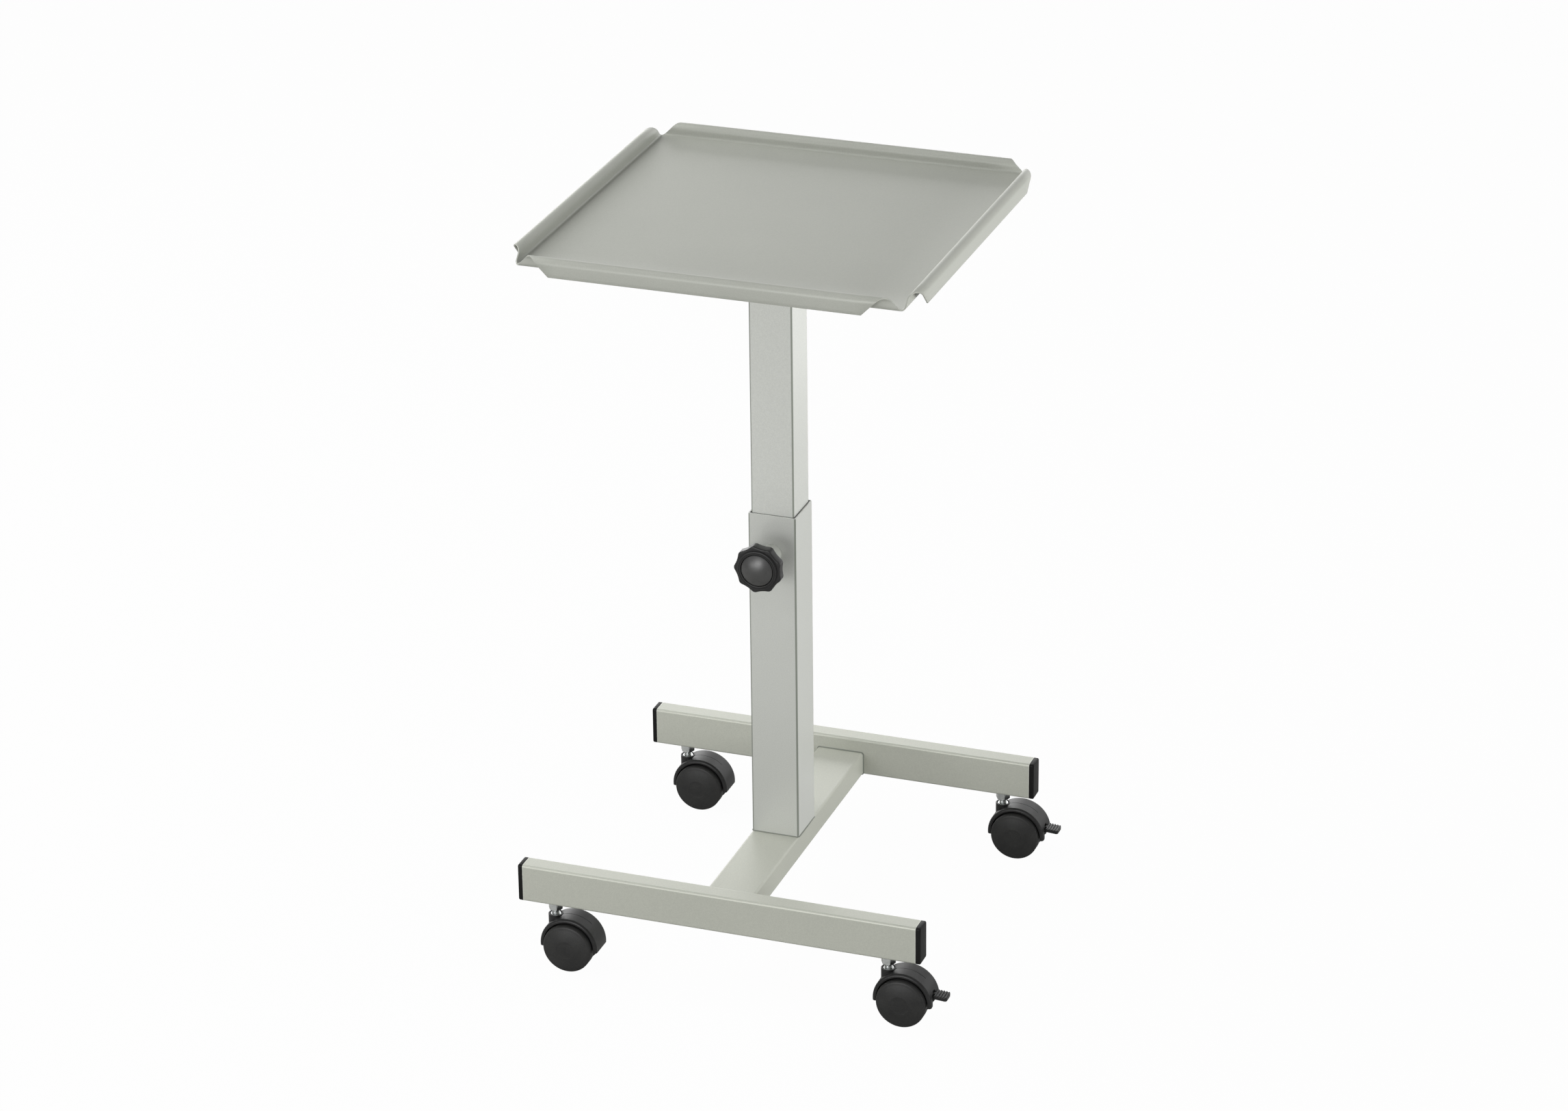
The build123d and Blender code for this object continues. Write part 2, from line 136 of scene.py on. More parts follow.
# Polyester powder coat on steel, sprayed and baked: satin, a fine sparkle of flake and a soft orange peel.
coat = {
    "flakeSize": 1.0,  # mm, drawn coarser than the real 0.05 mm so that it shows
    "peelSize": 3.5,
    "cloudSize": 140.0,  # slow drift of the spray's thickness
    "flakeDepth": 0.11,
    "cloudDepth": 0.05,
    "peelHeight": 0.025,  # mm
    "roughness": 0.35,
    "roughnessSpread": 0.05,
    "lacquerRoughness": 0.3,
    "metallic": 0.30,
    "ior": 1.5,
    "cornerShadeStart": 0.995,  # the larger level part of a normal, where the painted corner shade starts
    "cornerShadeFull": 0.93,  # and where that painted shade is darkest
    "uprightBelow": 0.5,  # height part of a normal, for faces that count as upright
    "boreShadeTone": "#1E1E1D",  # painted shade: near black inside the tube, drawn as bare steel
}


# painted shade: a tube's upright rounded corners, where no normal lies along an axis, are drawn darker
def shadeCorners(tree, colour, tone):
    form = addNode(tree, "ShaderNodeNewGeometry")
    size = addNode(tree, "ShaderNodeVectorMath", {"operation": "ABSOLUTE"}, {0: (form, "Normal")})
    axes = addNode(tree, "ShaderNodeSeparateXYZ", links={0: (size, 0)})
    most = addNode(tree, "ShaderNodeMath", {"operation": "MAXIMUM"}, {0: (axes, 0), 1: (axes, 1)})
    bend = addNode(tree, "ShaderNodeMapRange",
                   {"From Min": coat["cornerShadeStart"], "From Max": coat["cornerShadeFull"]}, {"Value": (most, 0)})
    upright = addNode(tree, "ShaderNodeMath", {"operation": "LESS_THAN", 1: coat["uprightBelow"]},
                      {0: (axes, 2)})
    cornerShadeMask = addNode(tree, "ShaderNodeMath", {"operation": "MULTIPLY"}, {0: (bend, 0), 1: (upright, 0)})
    return addNode(tree, "ShaderNodeMix", {"data_type": "RGBA", 7: hexLinear(tone)},
                   {0: (cornerShadeMask, 0), 6: (colour, 2)})


# painted shade: the inside of the tube is drawn as near-black bare steel, for the shade in the gap round the
# mast
def paintBoreShade(tree, place, colour, halfWidth):
    spot = addNode(tree, "ShaderNodeVectorMath", {"operation": "ABSOLUTE"}, {0: (place, "Object")})
    reach = addNode(tree, "ShaderNodeSeparateXYZ", links={0: (spot, 0)})
    far = addNode(tree, "ShaderNodeMath", {"operation": "MAXIMUM"}, {0: (reach, 0), 1: (reach, 1)})
    inside = addNode(tree, "ShaderNodeMath", {"operation": "LESS_THAN", 1: halfWidth * mm}, {0: (far, 0)})
    return addNode(tree, "ShaderNodeMix", {"data_type": "RGBA", 7: hexLinear(coat["boreShadeTone"])},
                   {0: (inside, 0), 6: (colour, 2)})


def powderCoat(name, tone, lacquer=0.0, metallic=coat["metallic"], roughness=coat["roughness"],
               cornerShadeTone=None, boreShadeWithin=None):
    material, tree, place = newMaterial(name)
    dark = [c * (1 - coat["flakeDepth"]) for c in hexLinear(tone)[:3]] + [1.0]
    light = [c * (1 + coat["flakeDepth"]) for c in hexLinear(tone)[:3]] + [1.0]
    flake = addNode(tree, "ShaderNodeTexNoise", {"Scale": 1 / (coat["flakeSize"] * mm), "Detail": 1.0},
                    {"Vector": (place, "Object")})
    colour = addNode(tree, "ShaderNodeMix", {"data_type": "RGBA", 6: dark, 7: light}, {0: (flake, 0)})
    cloud = addNode(tree, "ShaderNodeTexNoise", {"Scale": 1 / (coat["cloudSize"] * mm), "Detail": 3.0},
                    {"Vector": (place, "Object")})
    drift = addNode(tree, "ShaderNodeMapRange",
                    {"To Min": 1 - coat["cloudDepth"], "To Max": 1 + coat["cloudDepth"]},
                    {"Value": (cloud, 0)})
    colour = addNode(tree, "ShaderNodeMix", {"data_type": "RGBA", "blend_type": "MULTIPLY", 0: 1.0},
                     {6: (colour, 2), 7: (drift, 0)})
    if cornerShadeTone:
        colour = shadeCorners(tree, colour, cornerShadeTone)
    if boreShadeWithin:
        colour = paintBoreShade(tree, place, colour, boreShadeWithin)
    peel = addNode(tree, "ShaderNodeTexNoise", {"Scale": 1 / (coat["peelSize"] * mm), "Detail": 2.0},
                   {"Vector": (place, "Object")})
    bump = addNode(tree, "ShaderNodeBump", {"Strength": 0.5, "Distance": coat["peelHeight"] * mm},
                   {"Height": (peel, 0)})
    spread = coat["roughnessSpread"]
    gloss = addNode(tree, "ShaderNodeMapRange", {"To Min": roughness - spread, "To Max": roughness + spread},
                    {"Value": (flake, 0)})
    shader = addNode(tree, "ShaderNodeBsdfPrincipled",
                     {"Metallic": metallic, "IOR": coat["ior"], "Coat Weight": lacquer,
                      "Coat Roughness": coat["lacquerRoughness"]},
                     {"Base Color": (colour, 2), "Roughness": (gloss, 0), "Normal": (bump, 0)})
    endMaterial(tree, shader)
    return material


# Moulded plastics: a spark-eroded grain that breaks the shine, a little paler where the melt flowed.
plastic = {
    "flowSize": 18.0,  # mm
    "flowCurl": 0.6,
    "paleFrom": 0.12,  # grain times flow, where the paler tone starts
    "paleFull": 0.42,
    "roughnessSpread": 0.06,
    "ior": 1.5,
}


def mouldedPlastic(name, tone, paler, roughness, shine, grainSize=0.6, grainHeight=0.03):
    material, tree, place = newMaterial(name)
    grain = addNode(tree, "ShaderNodeTexNoise", {"Scale": 1 / (grainSize * mm), "Detail": 2.0},
                    {"Vector": (place, "Object")})
    flowScale = 1 / (plastic["flowSize"] * mm)
    flow = addNode(tree, "ShaderNodeTexNoise",
                   {"Scale": flowScale, "Detail": 3.0, "Distortion": plastic["flowCurl"]},
                   {"Vector": (place, "Object")})
    blend = addNode(tree, "ShaderNodeMath", {"operation": "MULTIPLY"}, {0: (grain, 0), 1: (flow, 0)})
    patch = addNode(tree, "ShaderNodeMapRange",
                    {"From Min": plastic["paleFrom"], "From Max": plastic["paleFull"]}, {"Value": (blend, 0)})
    colour = addNode(tree, "ShaderNodeMix", {"data_type": "RGBA", 6: hexLinear(tone), 7: hexLinear(paler)},
                     {0: (patch, 0)})
    bump = addNode(tree, "ShaderNodeBump", {"Strength": 0.6, "Distance": grainHeight * mm},
                   {"Height": (grain, 0)})
    spread = plastic["roughnessSpread"]
    gloss = addNode(tree, "ShaderNodeMapRange", {"To Min": roughness - spread, "To Max": roughness + spread},
                    {"Value": (flow, 0)})
    shader = addNode(tree, "ShaderNodeBsdfPrincipled", {"IOR": plastic["ior"], "Specular IOR Level": shine},
                     {"Base Color": (colour, 2), "Roughness": (gloss, 0), "Normal": (bump, 0)})
    endMaterial(tree, shader)
    return material


# Bright zinc plate on turned steel: mirror-like with fine turning lines round the stem and a cool tint.
plating = {
    "tones": ("#B9BCBD", "#E3E5E4"),
    "lineWave": 1.2,  # mm; the lines come out at about a third of this
    "lineHeight": 0.02,
    "cloudSize": 2.5,
    "roughness": (0.14, 0.30),
}


def zincPlate(name):
    material, tree, place = newMaterial(name)
    lines = addNode(tree, "ShaderNodeTexWave",
                    {"bands_direction": "Z", "Scale": 1 / (plating["lineWave"] * mm), "Distortion": 2.0},
                    {"Vector": (place, "Object")})
    cloud = addNode(tree, "ShaderNodeTexNoise", {"Scale": 1 / (plating["cloudSize"] * mm), "Detail": 3.0},
                    {"Vector": (place, "Object")})
    dark, light = (hexLinear(tone) for tone in plating["tones"])
    colour = addNode(tree, "ShaderNodeMix", {"data_type": "RGBA", 6: dark, 7: light}, {0: (cloud, 0)})
    smooth, rough = plating["roughness"]
    gloss = addNode(tree, "ShaderNodeMapRange", {"To Min": smooth, "To Max": rough}, {"Value": (cloud, 0)})
    bump = addNode(tree, "ShaderNodeBump", {"Strength": 0.15, "Distance": plating["lineHeight"] * mm},
                   {"Height": (lines, 0)})
    shader = addNode(tree, "ShaderNodeBsdfPrincipled", {"Metallic": 1.0},
                     {"Base Color": (colour, 2), "Roughness": (gloss, 0), "Normal": (bump, 0)})
    endMaterial(tree, shader)
    return material


# one grey powder coat on all the steel, drawn in several tones as painted light and shade: the mast lightest,
# then the sleeve, legs and tray; the corner tones and the sleeve's dark inside are painted shade too
mastCoat = powderCoat("powderCoatMast", "#CDCFCA", cornerShadeTone="#868A82")
sleeveCoat = powderCoat("powderCoatSleeve", "#C7C9C4", cornerShadeTone="#7E827A", boreShadeWithin=23.6)  # mm
# painted shadow: the boss is drawn darker for the knob's shadow on it
bossShadowCoat = powderCoat("powderCoatBossShadow", "#A9ABA5")
legCoat = powderCoat("powderCoatLegs", "#B8BAB0", roughness=0.46)
trayCoat = powderCoat("powderCoatTray", "#A5A79F", lacquer=0.15, metallic=0.12, roughness=0.5)
edgeHighlightCoat = powderCoat("powderCoatEdgeHighlight", "#F2F2EE", metallic=0.05)  # painted highlight: near white on the cut edges, where they catch the light
jointShadeCoat = powderCoat("powderCoatJointShade", "#7C8078")  # painted shade: dark, for the shade where the tubes meet
tubeEndHighlightCoat = powderCoat("powderCoatTubeEndHighlight", "#CBCDC5")  # painted highlight: a little paler than the legs, for the light caught by the sawn end
capPlastic = mouldedPlastic("polypropyleneCaps", "#0E0E0E", "#181818", roughness=0.45, shine=0.15,
                            grainSize=0.7)  # the dullest and darkest
hoodPlastic = mouldedPlastic("nylonHoods", "#171717", "#252525", roughness=0.37, shine=0.36)
wheelPlastic = mouldedPlastic("nylonWheels", "#171717", "#262625", roughness=0.45, shine=0.42,
                              grainSize=0.9, grainHeight=0.07)  # coarser than the hoods
knobPlastic = mouldedPlastic("nylonKnob", "#161616", "#242424", roughness=0.36, shine=0.42)
domePlastic = mouldedPlastic("nylonKnobCap", "#292929", "#373736", roughness=0.38, shine=0.9)  # paler
zinc = zincPlate("zincPlatedSteel")
print("materials made")


# an object made from a finished mesh, on the body that carries it
def addPiece(name, mesh, body, material, stands=(), sharpAngle=35, edgeMaterial=None):
    mesh.polygons.foreach_set("use_smooth", [True] * len(mesh.polygons))
    mesh.set_sharp_from_angle(angle=radians(sharpAngle))
    mesh.materials.clear()
    mesh.materials.append(material)
    if edgeMaterial:
        mesh.materials.append(edgeMaterial)
    piece = bpy.data.objects.new(name, mesh)
    bpy.context.scene.collection.objects.link(piece)
    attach(piece, body)
    if stands:
        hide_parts(*stands)
    return piece


def bodyOf(node):
    return nodes[node]["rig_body"]


# a skin over loops of equally many points, closed at the ends where asked
def skinLoops(name, loops, capStart=False, capEnd=False):
    form = bmesh.new()
    rows = [[form.verts.new(point) for point in loop] for loop in loops]
    count = len(rows[0])
    for here, after in zip(rows, rows[1:]):
        for i in range(count):
            form.faces.new((here[i], here[(i + 1) % count], after[(i + 1) % count], after[i]))
    if capStart:
        form.faces.new(rows[0][::-1])
    if capEnd:
        form.faces.new(rows[-1])
    bmesh.ops.remove_doubles(form, verts=form.verts, dist=1e-7)
    bmesh.ops.recalc_face_normals(form, faces=form.faces)
    mesh = bpy.data.meshes.new(name)
    form.to_mesh(mesh)
    form.free()
    return mesh


# loops round an axis: each ring is (along the axis, radius), and a radius may be a function of the angle
def polarLoops(rings, segments, place):
    loops = []
    for along, radius in rings:
        loop = []
        for i in range(segments):
            angle = 2 * pi * i / segments
            reach = radius(angle) if callable(radius) else radius
            loop.append(place @ Vector((reach * cos(angle) * mm, reach * sin(angle) * mm, along * mm)))
        loops.append(loop)
    return loops


# points of a round in a profile, from one angle to another
def roundOff(along, radius, size, fromAngle, toAngle, steps):
    points = []
    for i in range(steps + 1):
        angle = radians(fromAngle + (toAngle - fromAngle) * i / steps)
        points.append((along + size * cos(angle), radius + size * sin(angle)))
    return points


# radius of a hexagon at an angle
def hexReach(flats, angle):
    return flats / 2 / cos((angle % (pi / 3)) - pi / 6)


# points of a rounded box section, set in from its full size
def sectionLoop(width, height, corner, inset, leastCorner=0.3, steps=6):
    points = []
    radius = max(corner - inset, leastCorner)
    for i, (sx, sy) in enumerate(((1, 1), (-1, 1), (-1, -1), (1, -1))):
        for k in range(steps + 1):
            angle = radians(90 * i + 90 * k / steps)
            points.append((sx * (width / 2 - inset - radius) + radius * cos(angle),
                           sy * (height / 2 - inset - radius) + radius * sin(angle)))
    return points


# a frame whose z points along the axis, standing at a point
def axisPlace(point, axis):
    return Matrix.Translation(Vector(point)) @ Vector(axis).to_track_quat("Z", "Y").to_matrix().to_4x4()


def legOf(corner):
    return ("front" if "front" in corner else "rear") + "_leg"


# CAD pieces whose shape is right take their finish here
finishes = {
    "front_leg": legCoat,
    "rear_leg": legCoat,
    "cross_bar": legCoat,
    "lower_column": sleeveCoat,
    "upper_column": mastCoat,
    "clamp_boss": bossShadowCoat,
    "tray_plate": trayCoat,
    "clamp_screw": zinc,
}
finishes.update({"axle_" + corner: zinc for corner in corners})
for node, material in finishes.items():
    nodes[node].data.materials.clear()
    nodes[node].data.materials.append(material)
print("CAD finishes set:", len(finishes))

# tray of 1.5 mm sheet: one blank with its corners cut at 45 degrees, its rims rolled over
tray = {
    "sheet": 1.5,
    "bendLine": 191.3,
    "cornerReach": 1.9,
    "bend": (2.85, 90.0),  # radius of the sheet's middle, turn in degrees
    "wall": 4.7,
    "crest": (5.15, -180.0),
    "flange": 12.0,
    "edge": 0.35,  # round of the deburred edge
    "edgeAngle": 60.0,  # degrees, past which an edge is a cut one
    "columns": (0.0, 75.0, 150.0),
}
rimFacets = {"bend": 3, "wall": 2, "crest": 18, "flange": 3}  # the rim's stretches, from the floor outwards


def rimLength(key):
    size = tray[key]
    return size[0] * radians(abs(size[1])) if isinstance(size, tuple) else size


# where a point of the flat blank lies once the rim is folded: outwards and upwards, mm from the bend line
def foldedPoint(along):
    out, up, heading, left = 0.0, 0.0, 0.0, along
    for key in rimFacets:
        used = min(left, rimLength(key))
        if isinstance(tray[key], tuple):
            radius, turn = tray[key]
            side = 1 if turn > 0 else -1
            swing = side * used / radius
            out += side * radius * (sin(heading + swing) - sin(heading))
            up += side * radius * (cos(heading) - cos(heading + swing))
            heading += swing
        else:
            out += used * cos(heading)
            up += used * sin(heading)
        left -= used
    return out, up


def rimSteps():
    reach = tray["cornerReach"]
    steps, along = [0.0, reach / 2, reach], 0.0
    for key, count in rimFacets.items():
        first = max(along, reach)
        along += rimLength(key)
        steps += [first + (along - first) * (i + 1) / count for i in range(count)]
    return steps


# the sheet's middle: floor, four rims and the cut corners between them
def foldBlank():
    form = bmesh.new()
    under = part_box("tray_plate")[1].z / mm
    line, reach = tray["bendLine"], tray["cornerReach"]
    placed = {}

    # one point of the blank, by its distances from the middle
    def blankPoint(a, b):
        key = (round(a, 4), round(b, 4))
        if key not in placed:
            level, spot = under + tray["sheet"] / 2, []
            for value in (a, b):
                beyond = abs(value) - line
                if beyond > 0:
                    out, up = foldedPoint(beyond)
                    level += up
                    value = (line + out) * (1 if value > 0 else -1)
                spot.append(value * mm)
            placed[key] = form.verts.new((spot[0], spot[1], level * mm))
        return placed[key]

    inner = sorted({side * c for c in tray["columns"] for side in (-1, 1)})
    across = [-line] + inner + [line]
    for a0, a1 in zip(across, across[1:]):
        for b0, b1 in zip(across, across[1:]):
            form.faces.new([blankPoint(a, b) for a, b in ((a0, b0), (a1, b0), (a1, b1), (a0, b1))])
    steps = rimSteps()
    for s0, s1 in zip(steps, steps[1:]):
        rows = []
        for s in (s0, s1):
            end = min(line + reach - s, line)
            rows.append((line + s, [-end] + inner + [end]))
        for turned in (False, True):
            for side in (-1, 1):
                for i in range(len(rows[0][1]) - 1):
                    around = ((0, i), (1, i), (1, i + 1), (0, i + 1))
                    spots = [(side * rows[r][0], rows[r][1][j]) for r, j in around]
                    form.faces.new([blankPoint(*(p[::-1] if turned else p)) for p in spots])
    half = reach / 2
    patches = (((0, 0), (half, 0), (half, half), (0, half)), ((half, 0), (reach, 0), (half, half)),
               ((0, half), (half, half), (0, reach)))
    for sx in (-1, 1):
        for sy in (-1, 1):
            for patch in patches:
                form.faces.new([blankPoint(sx * (line + p[0]), sy * (line + p[1])) for p in patch])
    bmesh.ops.recalc_face_normals(form, faces=form.faces)
    if sum(face.normal.z * face.calc_area() for face in form.faces) < 0:
        bmesh.ops.reverse_faces(form, faces=form.faces)
    return form


def makeTray():
    form = foldBlank()
    mesh = bpy.data.meshes.new("tray_sheet")
    mesh.materials.append(trayCoat)
    mesh.materials.append(edgeHighlightCoat)
    form.to_mesh(mesh)
    form.free()
    rough = bpy.data.objects.new("tray_rough", mesh)
    bpy.context.scene.collection.objects.link(rough)
    thick = rough.modifiers.new("sheet", "SOLIDIFY")
    thick.thickness = tray["sheet"] * mm
    thick.offset = 0.0
    thick.use_even_offset = True
    thick.material_offset_rim = 1  # the cut edges take the second material
    edge = rough.modifiers.new("edge", "BEVEL")
    edge.width = tray["edge"] * mm
    edge.segments = 2
    edge.limit_method = "ANGLE"
    edge.angle_limit = radians(tray["edgeAngle"])
    finished = bpy.data.meshes.new_from_object(rough.evaluated_get(bpy.context.evaluated_depsgraph_get()))
    bpy.data.objects.remove(rough)
    addPiece("folded_tray", finished, bodyOf("tray"), trayCoat, ("tray",),
             edgeMaterial=edgeHighlightCoat)


makeTray()
print("tray folded")

# star knob with nine shallow flutes and a stepped collar
knob = {
    "radius": 25.0,
    "lobes": 9,
    "lobeSegments": 27,
    "phase": 21.0,
    "fluteRadius": 30.0,
    "fluteDepth": 1.9,
    "soft": 0.7,  # round of the ridges between flutes
    "edge": 1.3,  # round of the grip's two rims
    "thickness": 10.5,
    "collar": 20.5,
    "collarHeight": 2.4,
    "collarEdge": 0.9,
    "collarFoot": (0.15, 0.2),  # how far the collar spreads at its foot, and how high
    "groove": (18.6, 0.5, 0.3),  # radius, width and depth of the fine ring in the collar's front
    "seat": 16.8,
    "seatEdge": 0.5,
    "seatFloor": 0.1,  # above the grip's front
    "hub": 10.0,
    "hubEdge": 0.6,
    "hubLength": 15.5,
    "bore": 4.1,
}
# domed cap in the knob's seat
knobCap = {
    "radius": 16.5,
    "under": 0.2,  # its underside above the grip's front
    "rise": 1.9,  # the dome's rim above the grip's front
    "edge": 0.5,  # straight side left off below that rim
    "dome": 5.2,
    "rings": (0.985, 0.95, 0.9, 0.8, 0.7, 0.6, 0.5, 0.4, 0.3, 0.2, 0.1, 0.0),  # shares of the radius
}


# a frame on the screw's axis, at the back of the grip
def knobPlace():
    screwLow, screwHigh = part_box("clamp_screw")
    level = (screwLow.z + screwHigh.z) / 2
    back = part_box("knob")[1].y - knob["hubLength"] * mm
    return axisPlace((0, back, level), (0, -1, 0))


def makeKnob(place):
    centre = knob["radius"] + knob["fluteRadius"] - knob["fluteDepth"]

    # a ring of the grip, set in from its full size: a round cut back by the flutes, with the ridges rounded
    def grip(inset):
        def reach(angle):
            world = place.to_3x3() @ Vector((cos(angle), sin(angle), 0))
            pitch = 360 / knob["lobes"]
            turn = degrees(atan2(world.z, world.x)) - knob["phase"]
            off = radians(turn % pitch - pitch / 2)
            flute = centre * cos(off) - sqrt(knob["fluteRadius"] ** 2 - (centre * sin(off)) ** 2)
            near = max(knob["soft"] - abs(knob["radius"] - flute), 0) / knob["soft"]
            return min(knob["radius"], flute) - near * near * knob["soft"] / 4 - inset
        return reach

    high, edge, collar, seat = knob["thickness"], knob["edge"], knob["collar"], knob["seat"]
    hub, hubEdge, hubLength = knob["hub"], knob["hubEdge"], knob["hubLength"]
    top = high + knob["collarHeight"]
    rings = [(-hubLength, knob["bore"]), (-hubLength, hub - hubEdge), (hubEdge - hubLength, hub),
             (-hubEdge, hub), (0.0, hub + hubEdge)]
    rings += [(edge * (1 - sin(t)), grip(edge * (1 - cos(t)))) for t in reversed(quarterTurn)]
    rings += [(high - edge * (1 - sin(t)), grip(edge * (1 - cos(t)))) for t in quarterTurn]
    spread, footHeight = knob["collarFoot"]
    rings += [(high, collar + spread), (high + footHeight, collar)]
    size = knob["collarEdge"]
    rings += roundOff(top - size, collar - size, size, 90, 0, 5)
    ringRadius, ringWidth, ringDepth = knob["groove"]
    rings += [(top, ringRadius + ringWidth / 2), (top - ringDepth, ringRadius + ringWidth / 4),
              (top - ringDepth, ringRadius - ringWidth / 4), (top, ringRadius - ringWidth / 2)]
    size = knob["seatEdge"]
    rings += roundOff(top - size, seat + size, size, 0, -90, 4)
    rings += [(high + knob["seatFloor"], seat), (high + knob["seatFloor"], 0.0)]
    mesh = skinLoops("star_knob", polarLoops(rings, knob["lobeSegments"] * knob["lobes"], place))
    addPiece("star_knob", mesh, bodyOf("knob"), knobPlastic, ("knob",), sharpAngle=40)


def makeKnobCap(place):
    front, radius, dome = knob["thickness"], knobCap["radius"], knobCap["dome"]
    rim = front + knobCap["rise"]
    ball = (radius ** 2 + dome ** 2) / (2 * dome)
    under = front + knobCap["under"]
    rings = [(under, 0.0), (under, radius), (rim - knobCap["edge"], radius)]
    rings += [(rim + dome - ball + sqrt(ball ** 2 - (radius * t) ** 2), radius * t) for t in knobCap["rings"]]
    mesh = skinLoops("knob_dome", polarLoops(rings, roundSegments, place))
    addPiece("knob_dome", mesh, bodyOf("knob_cap"), domePlastic, ("knob_cap",),
             sharpAngle=40)


knobFrame = knobPlace()
makeKnob(knobFrame)
makeKnobCap(knobFrame)
print("knob turned")

# castor wheels: moulded discs with a domed face, a shallow round recess in it and a rounded tread edge
wheel = {
    "radius": 25.5,
    "edge": 2.6,  # round between tread and face
    "edgeLift": 0.25,  # how far that round stands proud of the dome's rim
    "innerEdge": 0.8,
    "dome": 3.5,
    "domeInset": 2.2,  # from the tread in to the dome's rim
    "faceRings": (22.4, 21.0, 19.0, 17.0, 15.0, 13.0, 11.0),
    "centre": 9.5,
    "centreDepth": 0.07,
    "centreLead": 0.5,  # last ring of the dome outside the recess
    "centreLip": 0.15,  # half the width of the recess's edge
    "lipDrop": 0.3,  # share of the depth at the lip
    "centreDome": 0.5,  # the recess's floor follows this share of the dome
    "centreRings": (7.0, 4.0, 0.0),
    "innerFace": 6.7,
    "rimFace": 19.5,
    "rim": 4.5,
    "hollow": 4.0,  # from the dome's rim in to the floor of the hollow
    "hub": 6.0,
    "bore": 3.05,
    "boreEnd": 17.5,
}


# rings of a wheel's profile, along the axle from the castor's middle
def wheelRings():
    flat = wheel["radius"] - wheel["domeInset"]
    ball = (flat ** 2 + wheel["dome"] ** 2) / (2 * wheel["dome"])

    # how far out the face lies at a radius
    def face(radius):
        return wheel["rimFace"] + wheel["dome"] - ball + sqrt(ball ** 2 - radius ** 2)

    deep = wheel["rimFace"] - wheel["hollow"]
    inner, radius, bore, hub = wheel["innerFace"], wheel["radius"], wheel["bore"], wheel["hub"]
    rings = [(wheel["boreEnd"], 0.0), (wheel["boreEnd"], bore), (inner, bore), (inner, hub), (deep, hub),
             (deep, radius - wheel["rim"]), (inner, radius - wheel["rim"])]
    size = wheel["innerEdge"]
    rings += roundOff(inner + size, radius - size, size, 180, 90, 4)
    size = wheel["edge"]
    lean = degrees(asin(flat / ball))
    rings += roundOff(face(flat) - size + wheel["edgeLift"], radius - size, size, 90, lean, 8)
    centre, sunk, lip = wheel["centre"], wheel["centreDepth"], wheel["centreLip"]
    rings += [(face(r), r) for r in wheel["faceRings"] + (centre + wheel["centreLead"],)]
    rings += [(face(centre) - sunk * wheel["lipDrop"], centre + lip), (face(centre) - sunk, centre - lip)]
    rings += [(face(centre) - sunk + (face(r) - face(centre)) * wheel["centreDome"], r)
              for r in wheel["centreRings"]]
    return rings


def makeWheels():
    rings = wheelRings()
    for corner in corners:
        axleLow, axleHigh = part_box("axle_" + corner)
        hub = (axleLow + axleHigh) / 2
        for side, way in (("front", -1), ("back", 1)):
            node = f"wheel_{corner}_{side}"
            mesh = skinLoops(node + "_moulded", polarLoops(rings, roundSegments, axisPlace(hub, (0, way, 0))))
            addPiece(node + "_moulded", mesh, bodyOf(node), wheelPlastic, (node,),
                     sharpAngle=40)


makeWheels()
print("wheels moulded")

# stems: hexagon with turned-off corners under the leg, a short threaded shank and a collar in the neck
stem = {
    "flats": 13.0,
    "hexHeight": 8.0,
    "hexEnd": 6.0,  # radius of the hexagon's flat ends
    "hexTurned": ((0.15, 6.35), (0.6, 6.95), (1.0, 9.0)),  # from an end: how far, and the radius left there
    "shank": 4.0,
    "shankNeck": 0.2,  # cut back under the hexagon
    "depth": 18.0,  # shank inside the neck
    "collar": 5.5,
    "collarEdge": 0.3,
    "collarHeight": 2.0,
    "collarSunk": 2.2,  # collar's foot below the neck's top
    "pitch": 1.25,
    "threadDepth": 0.55,
}


# rings of a stem's profile, in heights above the floor
def stemRings(foot, head, legUnder):
    def hexagon(limit):
        return lambda angle: min(limit, hexReach(stem["flats"], angle))

    base = foot + stem["depth"] - stem["collarSunk"]
    top = base + stem["collarHeight"]
    nut = legUnder - stem["hexHeight"]
    shank, collar, edge = stem["shank"], stem["collar"], stem["collarEdge"]
    rings = [(foot, 0.0), (foot, shank), (base, shank), (base, collar - edge), (base + edge, collar),
             (top - edge, collar), (top, collar - edge)]
    along = top
    while along + stem["pitch"] < nut:
        rings += [(along, shank - stem["threadDepth"]), (along + stem["pitch"] / 2, shank)]
        along += stem["pitch"]
    rings += [(nut, shank - stem["shankNeck"]), (nut, stem["hexEnd"])]
    rings += [(nut + far, hexagon(limit)) for far, limit in stem["hexTurned"]]
    rings += [(legUnder - far, hexagon(limit)) for far, limit in reversed(stem["hexTurned"])]
    rings += [(legUnder, stem["hexEnd"]), (legUnder, shank), (head, shank), (head, 0.0)]
    return rings


def makeStems():
    for corner in corners:
        node = "stem_" + corner
        low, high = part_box(node)
        middle = (low + high) / 2
        rings = stemRings(low.z / mm, high.z / mm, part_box(legOf(corner))[0].z / mm)
        place = axisPlace((middle.x, middle.y, 0), (0, 0, 1))
        mesh = skinLoops(node + "_turned", polarLoops(rings, roundSegments, place))
        addPiece(node + "_turned", mesh, bodyOf(node), zinc, (node,), sharpAngle=25)


makeStems()
print("stems turned")

# hoods and pedals keep the CAD shape, with moulded edges
moulded = {
    "hood": 0.3,  # mm, round of the edges
    "pedal": 0.22,
    "seam": 0.3,  # the parting line lies within this of the middle
    "joinWithin": 0.002,
    "flatWithin": 1.0,  # degrees between facets of one face
    "sharpFrom": 28.0,  # degrees at an edge that is rounded
    "steps": 2,
}


